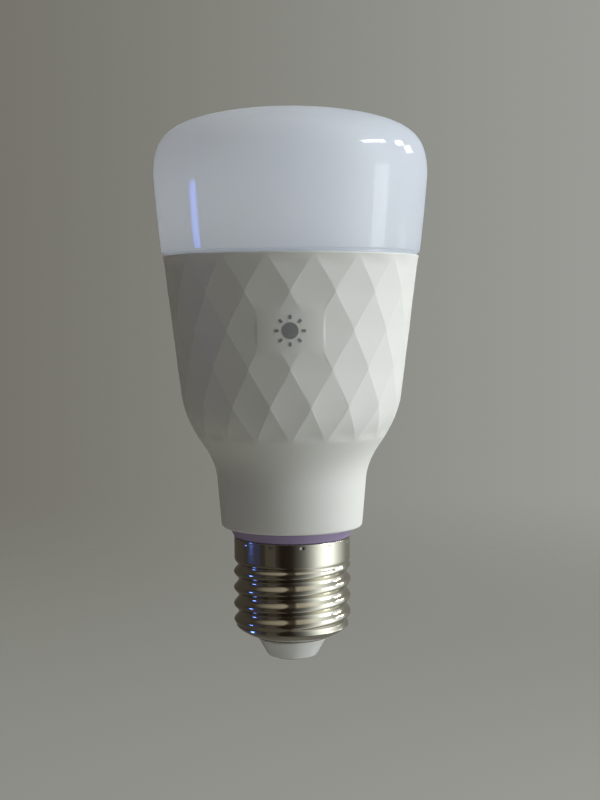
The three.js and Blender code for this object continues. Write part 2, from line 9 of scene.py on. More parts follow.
import bpy
import numpy as np
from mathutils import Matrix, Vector


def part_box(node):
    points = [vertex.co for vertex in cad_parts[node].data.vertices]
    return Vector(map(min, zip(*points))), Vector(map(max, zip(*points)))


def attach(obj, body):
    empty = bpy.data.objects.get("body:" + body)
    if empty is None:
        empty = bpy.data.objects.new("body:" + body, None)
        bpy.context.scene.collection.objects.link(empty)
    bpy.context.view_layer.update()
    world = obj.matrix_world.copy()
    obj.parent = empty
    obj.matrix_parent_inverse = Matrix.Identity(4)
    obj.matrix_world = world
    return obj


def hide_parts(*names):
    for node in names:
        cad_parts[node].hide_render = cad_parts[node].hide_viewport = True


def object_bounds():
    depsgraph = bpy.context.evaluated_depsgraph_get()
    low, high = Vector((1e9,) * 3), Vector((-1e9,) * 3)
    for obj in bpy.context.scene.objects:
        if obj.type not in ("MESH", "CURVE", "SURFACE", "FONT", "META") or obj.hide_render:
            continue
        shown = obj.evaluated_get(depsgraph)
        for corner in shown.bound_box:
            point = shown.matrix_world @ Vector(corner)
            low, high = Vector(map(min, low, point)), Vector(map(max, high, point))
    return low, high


MM = 0.001

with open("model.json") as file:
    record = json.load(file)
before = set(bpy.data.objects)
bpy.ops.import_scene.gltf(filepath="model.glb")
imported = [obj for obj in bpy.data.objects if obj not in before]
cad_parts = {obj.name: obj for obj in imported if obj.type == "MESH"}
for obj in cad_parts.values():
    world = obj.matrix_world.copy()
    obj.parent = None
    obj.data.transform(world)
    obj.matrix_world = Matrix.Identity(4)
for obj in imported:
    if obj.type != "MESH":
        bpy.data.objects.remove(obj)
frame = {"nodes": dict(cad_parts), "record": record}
CAD_LOW, CAD_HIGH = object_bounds()
MIDDLE = (CAD_LOW + CAD_HIGH) / 2


# ---- Sizes --------------------------------------------------------------------------------------


def low_z(node):
    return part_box(node)[0].z / MM


def high_z(node):
    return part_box(node)[1].z / MM


def widest(node):
    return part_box(node)[1].x / MM


HOUSING_LIFT = 0.3  # the housing's foot shows this much above the CAD's
SHELL_EDGE_LIFT = 0.4  # and the shell's lower edge this much
FOOT_Z = low_z("housing") + HOUSING_LIFT
RIM_Z = high_z("housing")
RIM_RADIUS = widest("housing")
CROWN_Z = high_z("diffuser")
DOME_RADIUS = widest("diffuser")
SKIRT_Z = low_z("diffuser")
SHELL_EDGE_Z = low_z("screw_shell") + SHELL_EDGE_LIFT
SHELL_RIM_Z = high_z("screw_shell")
COLLAR_TOP_Z = high_z("neck_collar")
COLLAR_LOW_Z = low_z("neck_collar")
COLLAR_RADIUS = widest("neck_collar")
INSULATOR_Z = low_z("cap_insulator")
INSULATOR_TOP_Z = high_z("cap_insulator")
STEM_TOP_Z = high_z("centre_contact")
CONTACT_RADIUS = widest("centre_contact")

# Housing
WALL = 1.6
FLANK_HEIGHT = 30.4
FLANK_DROP = 3.7
NECK_HEIGHT = 9.7
NECK_TAPER = 0.8
SHOULDER_Z = RIM_Z - FLANK_HEIGHT
SHOULDER_RADIUS = RIM_RADIUS - FLANK_DROP
NECK_Z = FOOT_Z + NECK_HEIGHT
NECK_RADIUS = 16.5
FOOT_RADIUS = NECK_RADIUS - NECK_TAPER
FACET_HALF_ANGLE = math.radians(10)
FACET_HALF_HEIGHT = 8.0
PATTERN_TOP_FADE = 2.6  # height over which the facets start under the rim
PATTERN_LOW_Z = SHOULDER_Z - 9.5  # height where they have gone
PATTERN_LOW_FADE = 2.0
WINDOW_Z = RIM_Z - 2 * FACET_HALF_HEIGHT
WINDOW_HALF_WIDTH = 7.0
WINDOW_HALF_HEIGHT = 4.75
WINDOW_SINK = 0.18

# Dome
DOME_EDGE_Z = RIM_Z + 0.7
DOME_EDGE_RADIUS = RIM_RADIUS + 0.25
DOME_FLANK = 17.4
DOME_WALL = 1.4

# Cap
THREAD_PITCH = 3.629
THREAD_MEAN_RADIUS = 12.58
THREAD_DEPTH = 0.52
THREAD_FOOT_Z = 7.2
CREST_AT_FRONT_Z = 20.2
SKIRT_RADIUS = 12.95
SKIRT_HEIGHT = 5.4
SKIRT_FOOT_Z = SHELL_RIM_Z - SKIRT_HEIGHT
SKIRT_STEP_HALF = 0.6  # half the height over which the thread's core widens to the skirt
SHEET = 0.35
SHELL_EDGE_RADIUS = 8.4


def smoothstep(value, start, end):
    t = np.clip((value - start) / (end - start), 0.0, 1.0)
    return t * t * (3 - 2 * t)


def bezier(points, steps):
    """Points along a Bezier curve through any number of control points, ends included."""
    control = np.array(points, dtype=float)
    made = []
    for t in np.linspace(0, 1, steps + 1):
        row = control
        while len(row) > 1:
            row = row[:-1] * (1 - t) + row[1:] * t
        made.append(tuple(row[0]))
    return made


def arc(radius, height, rounding, start, end, steps=5):
    """Points of a rounded corner about (radius, height), from one angle to another in degrees."""
    angles = np.radians(np.linspace(start, end, steps + 1))
    return [(radius + rounding * math.cos(a), height + rounding * math.sin(a)) for a in angles]


WAIST = bezier(
    [
        (NECK_RADIUS, NECK_Z),
        (NECK_RADIUS + 0.45, NECK_Z + 8.6),
        (SHOULDER_RADIUS - 1.4, SHOULDER_Z - 9.9),
        (SHOULDER_RADIUS, SHOULDER_Z),
    ],
    60,
)
OUTLINE = [(FOOT_RADIUS, FOOT_Z), *WAIST, (RIM_RADIUS, RIM_Z)]
OUTLINE_RADII = [r for r, z in OUTLINE]
OUTLINE_HEIGHTS = [z for r, z in OUTLINE]


def housing_radius(height):
    return np.interp(height, OUTLINE_HEIGHTS, OUTLINE_RADII)


# ---- Meshes -------------------------------------------------------------------------------------


def turned(profile, sides, closed=True, shape=None, split=None):
    """Vertices and faces of a turned piece. shape(angle, radius, height, row) moves radii in or
    out, with the angle counted from the front towards +X. split(column, row) says which diagonal
    cuts a cell into triangles; without it a cell stays one face."""
    angle = np.arange(sides) * 2 * math.pi / sides
    verts, rings = [], []
    for row, (radius, height) in enumerate(profile):
        if radius < 1e-6:
            rings.append([len(verts)] * sides)
            verts.append((0.0, 0.0, height * MM))
            continue
        radii = np.full(sides, radius)
        if shape is not None:
            radii = shape(angle, radius, height, row)
        rings.append(list(range(len(verts), len(verts) + sides)))
        x = radii * np.sin(angle) * MM
        y = -radii * np.cos(angle) * MM
        verts.extend(zip(x.tolist(), y.tolist(), [height * MM] * sides))
    faces = []
    pairs = len(profile) if closed else len(profile) - 1
    for row in range(pairs):
        lower, upper = rings[row], rings[(row + 1) % len(profile)]
        for i in range(sides):
            j = (i + 1) % sides
            a, b, c, d = lower[i], lower[j], upper[j], upper[i]
            if a == b:
                faces.append((a, c, d))
            elif c == d:
                faces.append((a, b, c))
            elif split is None:
                faces.append((a, b, c, d))
            elif split(i, row):
                faces.extend([(a, b, c), (a, c, d)])
            else:
                faces.extend([(a, b, d), (b, c, d)])
    return verts, faces


def piece(name, mesh_data, slot_name, stands_for, sharp_angle=30):
    """Makes the mesh a piece on the bulb's one body, in place of a CAD node."""
    verts, faces = mesh_data
    mesh = bpy.data.meshes.new(name)
    mesh.from_pydata(verts, [], faces)
    mesh.validate()
    face_centre = np.array([p.center for p in mesh.polygons])
    face_normal = np.array([p.normal for p in mesh.polygons])
    face_area = np.array([p.area for p in mesh.polygons])
    if np.sum(np.sum(face_centre * face_normal, axis=1) * face_area) < 0:
        mesh.flip_normals()
    mesh.shade_smooth()
    mesh.set_sharp_from_angle(angle=math.radians(sharp_angle))
    made = bpy.data.objects.new(name, mesh)
    bpy.context.scene.collection.objects.link(made)
    made.data.materials.append(FINISHES[slot_name])
    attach(made, "root")
    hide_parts(stands_for)
    return made


# ---- Finishes -----------------------------------------------------------------------------------


def finish(
    slot_name,
    colour,
    roughness,
    metallic=0.0,
    tint=0.03,
    blotch=4.0,
    grain=0.12,
    relief=0.004,
    stretch=(1, 1, 1),
    rough_spread=0.05,
    ior=1.5,
    subsurface=0.0,
    subsurface_reach=1.0,
):
    """A finish with slow colour drift, uneven gloss and a fine surface grain. blotch and grain are
    the sizes of the drift and of the grain, relief the grain's depth, all in millimetres."""
    material = bpy.data.materials.new(slot_name)
    material.use_nodes = True
    nodes, links = material.node_tree.nodes, material.node_tree.links
    shader = nodes["Principled BSDF"]
    shader.inputs["Metallic"].default_value = metallic
    shader.inputs["IOR"].default_value = ior
    shader.inputs["Subsurface Weight"].default_value = subsurface
    shader.inputs["Subsurface Radius"].default_value = (1.0, 0.95, 0.9)
    shader.inputs["Subsurface Scale"].default_value = subsurface_reach * MM

    place = nodes.new("ShaderNodeTexCoord")
    spread = nodes.new("ShaderNodeMapping")
    spread.inputs["Scale"].default_value = stretch
    links.new(place.outputs["Object"], spread.inputs["Vector"])

    drift = nodes.new("ShaderNodeTexNoise")
    drift.inputs["Scale"].default_value = 1 / (blotch * MM)
    drift.inputs["Detail"].default_value = 3
    links.new(place.outputs["Object"], drift.inputs["Vector"])
    mix = nodes.new("ShaderNodeMix")
    mix.data_type = "RGBA"
    mix.inputs["A"].default_value = (*[c * (1 - tint) for c in colour], 1)
    mix.inputs["B"].default_value = (*[min(1, c * (1 + tint)) for c in colour], 1)
    links.new(drift.outputs["Fac"], mix.inputs["Factor"])
    links.new(mix.outputs["Result"], shader.inputs["Base Color"])

    fine = nodes.new("ShaderNodeTexNoise")
    fine.inputs["Scale"].default_value = 1 / (grain * MM)
    fine.inputs["Detail"].default_value = 2
    links.new(spread.outputs["Vector"], fine.inputs["Vector"])
    gloss = nodes.new("ShaderNodeMapRange")
    gloss.inputs["To Min"].default_value = roughness - rough_spread
    gloss.inputs["To Max"].default_value = roughness + rough_spread
    links.new(fine.outputs["Fac"], gloss.inputs["Value"])
    links.new(gloss.outputs["Result"], shader.inputs["Roughness"])
    bump = nodes.new("ShaderNodeBump")
    bump.inputs["Distance"].default_value = relief * MM
    links.new(fine.outputs["Fac"], bump.inputs["Height"])
    links.new(bump.outputs["Normal"], shader.inputs["Normal"])
    FINISHES[slot_name] = material


def let_light_through(slot_name, share):
    """Lets part of the light scatter on through the wall, so a dark side glows from behind."""
    nodes, links = FINISHES[slot_name].node_tree.nodes, FINISHES[slot_name].node_tree.links
    shader, output = nodes["Principled BSDF"], nodes["Material Output"]
    through = nodes.new("ShaderNodeBsdfTranslucent")
    links.new(shader.inputs["Base Color"].links[0].from_socket, through.inputs["Color"])
    both = nodes.new("ShaderNodeMixShader")
    both.inputs["Fac"].default_value = share
    links.new(shader.outputs["BSDF"], both.inputs[1])
    links.new(through.outputs["BSDF"], both.inputs[2])
    links.new(both.outputs["Shader"], output.inputs["Surface"])


FINISHES = {}
finish("opal_dome", (0.875, 0.905, 0.96), 0.05, tint=0.008, blotch=14, grain=3.0, relief=0.003,
       rough_spread=0.015, ior=2.0)
let_light_through("opal_dome", 0.72)
finish("housing_white", (0.80, 0.79, 0.755), 0.5, tint=0.012, blotch=9, grain=0.16, relief=0.006,
       rough_spread=0.06, ior=1.32, subsurface=0.25, subsurface_reach=0.6)
finish("collar_lilac", (0.36, 0.28, 0.46), 0.36, tint=0.03, blotch=3, grain=0.14, relief=0.004)
finish("cap_nickel", (0.55, 0.52, 0.435), 0.10, metallic=1.0, tint=0.05, blotch=2.5, grain=2.4,
       relief=0.004, stretch=(1, 1, 22), rough_spread=0.03)
finish("insulator_white", (0.80, 0.80, 0.775), 0.16, tint=0.02, blotch=3, grain=1.2, relief=0.003,
       subsurface=0.2, subsurface_reach=0.8)
finish("mark_ink", (0.27, 0.27, 0.275), 0.55, tint=0.06, blotch=0.8, grain=0.07, relief=0.003)
finish("cup_aluminium", (0.74, 0.75, 0.76), 0.36, metallic=1.0, tint=0.04, grain=1.2,
       relief=0.004, stretch=(1, 1, 14))
finish("thermal_paste", (0.5, 0.51, 0.52), 0.75, tint=0.08, blotch=1.5, grain=0.3, relief=0.03)
finish("lamp_board_white", (0.86, 0.87, 0.85), 0.4, tint=0.02, grain=0.3, relief=0.003)
finish("board_green", (0.03, 0.16, 0.07), 0.3, tint=0.18, blotch=1.1, grain=0.35, relief=0.01)
finish("moulded_black", (0.022, 0.022, 0.024), 0.5, tint=0.15, grain=0.08, relief=0.006)
finish("ferrite", (0.06, 0.06, 0.065), 0.6, tint=0.2, blotch=0.5, grain=0.1, relief=0.012)
finish("lamp_phosphor", (0.8, 0.6, 0.12), 0.28, tint=0.06, blotch=0.6, grain=0.2, relief=0.004)
finish("lamp_clear", (0.78, 0.77, 0.72), 0.18, tint=0.05, blotch=0.6, grain=0.3, relief=0.003)
finish("silicone", (0.8, 0.78, 0.74), 0.4, tint=0.04, blotch=2, grain=0.8, relief=0.02)
finish("screw_steel", (0.55, 0.56, 0.58), 0.3, metallic=1.0, tint=0.06, blotch=0.6, grain=0.3,
       relief=0.004)
finish("sleeve_white", (0.78, 0.77, 0.74), 0.5, tint=0.02, grain=0.15, relief=0.006)
finish("can_dark", (0.03, 0.032, 0.036), 0.25, tint=0.12, blotch=1.5, grain=0.6, relief=0.006)
finish("yellow_tape", (0.65, 0.38, 0.05), 0.4, tint=0.07, blotch=1, grain=0.25, relief=0.008)
finish("film_orange", (0.46, 0.09, 0.02), 0.3, tint=0.08, blotch=1.2, grain=0.5, relief=0.012)
finish("resistor_green", (0.05, 0.2, 0.1), 0.5, tint=0.08, blotch=0.7, grain=0.2, relief=0.008)
finish("wire_red", (0.37, 0.02, 0.02), 0.4, tint=0.05, blotch=1, grain=0.2, relief=0.004)
finish("wire_black", (0.015, 0.015, 0.016), 0.4, tint=0.1, blotch=1, grain=0.2, relief=0.004)


# ---- Dome ---------------------------------------------------------------------------------------


def dome_outline(inset, steps):
    """Crown down to the dome's edge, moved in by a wall."""
    edge = (DOME_EDGE_RADIUS - inset, DOME_EDGE_Z)
    widest_z = DOME_EDGE_Z + DOME_FLANK
    across = DOME_RADIUS - inset
    top = CROWN_Z - inset
    rise = top - widest_z
    shares = [(0, 1), (0.36, 1), (0.82, 0.81), (0.955, 0.78), (1, 0.34), (1, 0)]
    shoulder = bezier([(across * out, widest_z + rise * up) for out, up in shares], steps)
    flank = bezier([(across, widest_z), (across, widest_z - DOME_FLANK * 0.15), edge], steps // 2)
    return shoulder + flank[1:]


def make_dome():
    edge_rounding = 0.35
    lip_radius = RIM_RADIUS - 0.35
    skirt = RIM_RADIUS - WALL - 0.6
    outside = dome_outline(0, 48)[:-1]
    corner = arc(
        DOME_EDGE_RADIUS - edge_rounding, DOME_EDGE_Z + edge_rounding, edge_rounding, 0, -90
    )
    # The last point of the flank lies under the rounded corner, so it gives way to it.
    outside = [(r, z) for r, z in outside if z > DOME_EDGE_Z + edge_rounding + 0.1]
    lip = [
        (lip_radius, DOME_EDGE_Z),
        (lip_radius, RIM_Z + 0.05),
        (skirt, RIM_Z + 0.05),
        (skirt, SKIRT_Z),
        (skirt - DOME_WALL, SKIRT_Z),
    ]
    inside = dome_outline(DOME_WALL, 24)[::-1]
    profile = outside + corner + lip + inside
    return piece("diffuser_dome", turned(profile, 192, closed=False), "opal_dome", "diffuser", 40)


# ---- Housing ------------------------------------------------------------------------------------

COLUMNS_PER_HALF = 16
ROW_STEP = FACET_HALF_HEIGHT / COLUMNS_PER_HALF


def lattice(angle, height):
    """Place inside the nearest facet: across and along, each from -1 to 1 at its corners."""
    across = angle / FACET_HALF_ANGLE
    along = (RIM_Z - height) / FACET_HALF_HEIGHT
    rising = np.round((across + along) / 2)
    falling = np.round((across - along) / 2)
    return across - (rising + falling), along - (rising - falling)


def facet_depth(angle, radius, height):
    """How far a facet lies inside the round outline. Across, it is flat; along, it folds gently.
    The facets deepen towards the shoulder and fade out at both ends of the pattern."""
    soft, extra_at_shoulder = 0.22, 0.3
    across, along = lattice(angle, height)
    folded = (np.sqrt(along**2 + soft**2) - soft) / (math.sqrt(1 + soft**2) - soft)
    depth = radius / 2 * FACET_HALF_ANGLE**2 * ((1 - folded) - across**2)
    deeper = 1 + extra_at_shoulder * smoothstep(height, SHOULDER_Z + 3, SHOULDER_Z - 4)
    begun = smoothstep(height, RIM_Z, RIM_Z - PATTERN_TOP_FADE)
    left = smoothstep(height, PATTERN_LOW_Z, PATTERN_LOW_Z + PATTERN_LOW_FADE)
    return np.maximum(depth, 0) * deeper * (begun * left)


def window_share(angle, radius, height):
    """1 on the smooth window that carries the mark, 0 off it, with crisp sides and soft ends."""
    end_fade = 1.4
    sideways = np.where(np.cos(angle) > 0, np.abs(radius * np.sin(angle)), radius)
    inside = 1 - smoothstep(sideways, WINDOW_HALF_WIDTH - 0.2, WINDOW_HALF_WIDTH + 0.25)
    off_middle = abs(height - WINDOW_Z)
    low, high = WINDOW_HALF_HEIGHT - end_fade, WINDOW_HALF_HEIGHT + end_fade
    return inside * (1 - smoothstep(off_middle, low, high))


def make_housing():
    foot_rounding, rim_rounding = 0.5, 0.25
    foot = arc(FOOT_RADIUS - foot_rounding, FOOT_Z + foot_rounding, foot_rounding, -90, 0, 8)
    neck_steps = np.arange(FOOT_Z + 1.6, NECK_Z, 1.1)
    waist_top = RIM_Z - 5 * FACET_HALF_HEIGHT
    waist_steps = np.linspace(NECK_Z, waist_top, 24)[:-1]
    pattern_steps = np.arange(waist_top, RIM_Z - rim_rounding - 0.01, ROW_STEP)
    steps = [*neck_steps, *waist_steps, *pattern_steps]
    outside = foot + [(float(housing_radius(z)), float(z)) for z in steps]
    first_pattern_row = len(outside) - len(pattern_steps)
    last_pattern_row = len(outside)
    rim = arc(RIM_RADIUS - rim_rounding, RIM_Z - rim_rounding, rim_rounding, 0, 90, 4)
    bore_steps = [RIM_Z, *np.linspace(SHOULDER_Z, NECK_Z, 14), FOOT_Z]
    bore = [(float(housing_radius(z)) - WALL, float(z)) for z in bore_steps]
    profile = outside + rim + bore

    def shape(angle, radius, height, row):
        facing = np.arctan2(np.sin(angle), np.cos(angle))
        if not first_pattern_row <= row < last_pattern_row:
            return np.full(len(angle), radius)
        depth = facet_depth(facing, radius, height)
        share = window_share(facing, radius, height)
        return radius - depth * (1 - share) - WINDOW_SINK * share

    def split(column, row):
        if not first_pattern_row <= row < last_pattern_row:
            return True
        angle = (column + 0.5) * FACET_HALF_ANGLE / COLUMNS_PER_HALF
        across, along = lattice(angle, profile[row][1] + ROW_STEP / 2)
        return across * along > 0

    sides = 36 * COLUMNS_PER_HALF
    data = turned(profile, sides, shape=shape, split=split)
    return piece("housing_shell", data, "housing_white", "housing", 6.5)


# ---- Printed mark -------------------------------------------------------------------------------


def on_window(x, rise, lift):
    """A point of the print, in metres: x and rise from the middle of the window, in millimetres."""
    height = WINDOW_Z + rise
    radius = float(housing_radius(height)) - WINDOW_SINK + lift
    return (x * MM, -math.sqrt(radius**2 - x**2) * MM, height * MM)


def print_patch(verts, faces, place, columns, rows):
    """Adds one closed film of ink; place(s, t) gives its outline from two numbers in -1 to 1."""
    film, gap = 0.07, 0.01
    first = len(verts)
    across = [2 * i / columns - 1 for i in range(columns + 1)]
    upward = [2 * j / rows - 1 for j in range(rows + 1)]
    grid = [(s, t) for t in upward for s in across]
    for lift in (gap + film, gap):
        verts.extend(on_window(*place(s, t), lift) for s, t in grid)
    under = len(grid)
    stride = columns + 1
    for j in range(rows):
        for i in range(columns):
            a = first + j * stride + i
            quad = (a, a + 1, a + stride + 1, a + stride)
            faces.append(quad)
            faces.append(tuple(v + under for v in reversed(quad)))
    bottom = [first + i for i in range(columns + 1)]
    right = [first + j * stride + columns for j in range(1, rows + 1)]
    top = [first + rows * stride + i for i in range(columns - 1, -1, -1)]
    left = [first + j * stride for j in range(rows - 1, 0, -1)]
    border = bottom + right + top + left
    for a, b in zip(border, border[1:] + border[:1]):
        faces.append((b, a, a + under, b + under))


def make_mark():
    """A plain sun: a disc with eight rays around it."""
    disc, ray_start, ray_end, ray_half = 1.7, 2.35, 3.2, 0.3
    verts, faces = [], []

    def disc_place(s, t):
        # A square grid pressed into a circle.
        return disc * s * math.sqrt(1 - t * t / 2), disc * t * math.sqrt(1 - s * s / 2)

    print_patch(verts, faces, disc_place, 14, 14)
    for ray in range(8):
        turn = math.radians(45 * ray)

        def ray_place(s, t, turn=turn):
            along = (ray_start + ray_end) / 2 + (ray_end - ray_start) / 2 * t
            aside = ray_half * s * math.sqrt(1 - 0.45 * t * t)
            return (
                along * math.cos(turn) - aside * math.sin(turn),
                along * math.sin(turn) + aside * math.cos(turn),
            )

        print_patch(verts, faces, ray_place, 4, 8)
    return piece("sun_print", (verts, faces), "mark_ink", "printed_mark", 40)


# ---- Collar, screw shell, insulator and contact -------------------------------------------------


def make_collar():
    spigot = SKIRT_RADIUS - SHEET - 0.2
    bore = spigot - 1.5
    shoulder = SKIRT_RADIUS + 0.1
    seat = SHELL_RIM_Z + 0.16
    soft = 0.22
    profile = [
        (bore, COLLAR_LOW_Z),
        (spigot, COLLAR_LOW_Z),
        (spigot, seat),
        *arc(shoulder - soft, seat + soft, soft, -90, -20, 4),
        *arc(COLLAR_RADIUS - soft, FOOT_Z - 0.4, soft, -40, 0, 4),
        (COLLAR_RADIUS, COLLAR_TOP_Z - 0.3),
        (COLLAR_RADIUS - 0.3, COLLAR_TOP_Z),
        (bore, COLLAR_TOP_Z),
    ]
    return piece("lilac_collar", turned(profile, 160), "collar_lilac", "neck_collar", 35)


def thread_wave(angle, height):
    """Radius added by the right-hand thread, which runs out at both ends."""
    run_in = smoothstep(height, THREAD_FOOT_Z - 0.4, THREAD_FOOT_Z + THREAD_PITCH * 0.45)
    run_out = 1 - smoothstep(height, SKIRT_FOOT_Z - 1.1, SKIRT_FOOT_Z + 0.2)
    phase = (height - CREST_AT_FRONT_Z) / THREAD_PITCH - angle / (2 * math.pi)
    return THREAD_DEPTH * run_in * run_out * np.cos(2 * math.pi * phase)


def stake_dents(angle, height, radius):
    """Depth of the twelve punch marks that stake the shell to the collar, under its rim."""
    count, turn, below_rim, size, depth = 12, math.radians(-20), 0.8, 0.42, 0.16
    spacing = 2 * math.pi / count
    aside = (angle - turn + spacing / 2) % spacing - spacing / 2
    away = np.hypot(aside * radius, height - (SHELL_RIM_Z - below_rim)) / size
    return depth * (1 - smoothstep(away, 0.25, 1.0))


def make_screw_shell():
    cone_knee = (10.9, 5.6)
    row = 0.15
    edge_corner = (SHELL_EDGE_RADIUS, SHELL_EDGE_Z + 0.25)
    cone = bezier([edge_corner, cone_knee, (THREAD_MEAN_RADIUS, THREAD_FOOT_Z)], 10)
    thread_steps = np.arange(THREAD_FOOT_Z + row, SKIRT_FOOT_Z - SKIRT_STEP_HALF, row)
    thread = [(THREAD_MEAN_RADIUS, z) for z in thread_steps]
    blend = [
        (THREAD_MEAN_RADIUS + (SKIRT_RADIUS - THREAD_MEAN_RADIUS) * float(smoothstep(t, 0, 1)),
         SKIRT_FOOT_Z - SKIRT_STEP_HALF + 2 * SKIRT_STEP_HALF * t)
        for t in np.linspace(0, 1, 9)
    ]
    skirt_steps = [*np.arange(SKIRT_FOOT_Z + 0.9, SHELL_RIM_Z - 1.9, 0.6),
                   *np.arange(SHELL_RIM_Z - 1.7, SHELL_RIM_Z - 0.15, 0.1)]
    skirt = [(SKIRT_RADIUS, float(z)) for z in skirt_steps]
    edge = [(SHELL_EDGE_RADIUS - 0.15, SHELL_EDGE_Z)]
    outer = edge + cone + thread + blend + skirt
    rim = arc(SKIRT_RADIUS - SHEET / 2, SHELL_RIM_Z - SHEET / 2, SHEET / 2, 0, 180, 6)
    inner_cone = [(max(r - SHEET, SHELL_EDGE_RADIUS - SHEET), z + 0.3) for r, z in cone[::-3]]
    inner = [(r - SHEET, z) for r, z in skirt[::-3] + blend[::-2] + thread[::-3]] + inner_cone
    profile = outer + rim + inner + [(SHELL_EDGE_RADIUS - SHEET, SHELL_EDGE_Z)]

    def shape(angle, radius, height, row):
        return radius + thread_wave(angle, height) - stake_dents(angle, height, radius)

    data = turned(profile, 288, shape=shape)
    return piece("nickel_screw_shell", data, "cap_nickel", "screw_shell", 50)


def make_insulator():
    """White cone whose lower edge is rounded, with a recess for the contact."""
    face_radius, throat, shelf = 5.6, 7.7, 10.36
    edge_rounding, throat_rounding = 0.5, 0.3
    recess = CONTACT_RADIUS + 0.12
    stem_hole = 1.2
    profile = [
        (stem_hole, 0.95),
        (recess, 0.95),
        (recess, INSULATOR_Z + 0.08),
        (recess + 0.08, INSULATOR_Z),
        *arc(face_radius - 0.4, INSULATOR_Z + edge_rounding, edge_rounding, -90, -36, 6),
        *arc(throat - throat_rounding, SHELL_EDGE_Z - 0.35, throat_rounding, -32, 0, 4),
        (throat, SHELL_EDGE_Z + 0.8),
        (shelf, THREAD_FOOT_Z + 0.1),
        (shelf, INSULATOR_TOP_Z),
        (stem_hole, INSULATOR_TOP_Z),
    ]
    return piece("white_insulator", turned(profile, 128), "insulator_white", "cap_insulator", 35)


def make_contact():
    rounding, dish = 0.3, 0.05
    profile = [
        (0, dish),
        (CONTACT_RADIUS * 0.45, dish),
        (CONTACT_RADIUS * 0.62, 0.0),
        *arc(CONTACT_RADIUS - rounding, rounding, rounding, -90, 0, 6),
        (CONTACT_RADIUS, 0.9),
        (1.0, 0.9),
        (1.0, STEM_TOP_Z),
        (0, STEM_TOP_Z),
    ]
    data = turned(profile, 96, closed=False)
    return piece("end_contact", data, "cap_nickel", "centre_contact", 35)


make_dome()
make_housing()
make_mark()
make_collar()
make_screw_shell()
make_insulator()
make_contact()

# The sealed pieces keep their CAD shapes and take the finish of their own slot.
for part in frame["record"]["subparts"]:
    node = frame["nodes"][part["node"]]
    node.data.materials.clear()
    node.data.materials.append(FINISHES[part["material_slot"]])


# ---- Stage, light and camera --------------------------------------------------------------------


def make_floor():
    """A pale round floor under the bulb that fades out into the background, which has painted shade."""
    radius, drop = 2.0, 0.2
    bpy.ops.mesh.primitive_circle_add(vertices=96, radius=radius, fill_type="NGON",
                                      location=(0, 0, -drop))
    floor = bpy.context.object
    floor.name = "floor"
    material = bpy.data.materials.new("floor")
    material.use_nodes = True
    nodes, links = material.node_tree.nodes, material.node_tree.links
    shader = nodes["Principled BSDF"]
    shader.inputs["Base Color"].default_value = (0.55, 0.55, 0.515, 1)
    shader.inputs["Roughness"].default_value = 0.9
    place = nodes.new("ShaderNodeTexCoord")
    length = nodes.new("ShaderNodeVectorMath")
    length.operation = "LENGTH"
    fade = nodes.new("ShaderNodeMapRange")
    fade.interpolation_type = "SMOOTHSTEP"
    fade.inputs["From Min"].default_value = 0.5
    fade.inputs["From Max"].default_value = 1.8
    fade.inputs["To Min"].default_value = 1
    fade.inputs["To Max"].default_value = 0
    links.new(place.outputs["Object"], length.inputs[0])
    links.new(length.outputs["Value"], fade.inputs["Value"])
    links.new(fade.outputs["Result"], shader.inputs["Alpha"])
    floor.data.materials.append(material)
    floor.visible_glossy = False


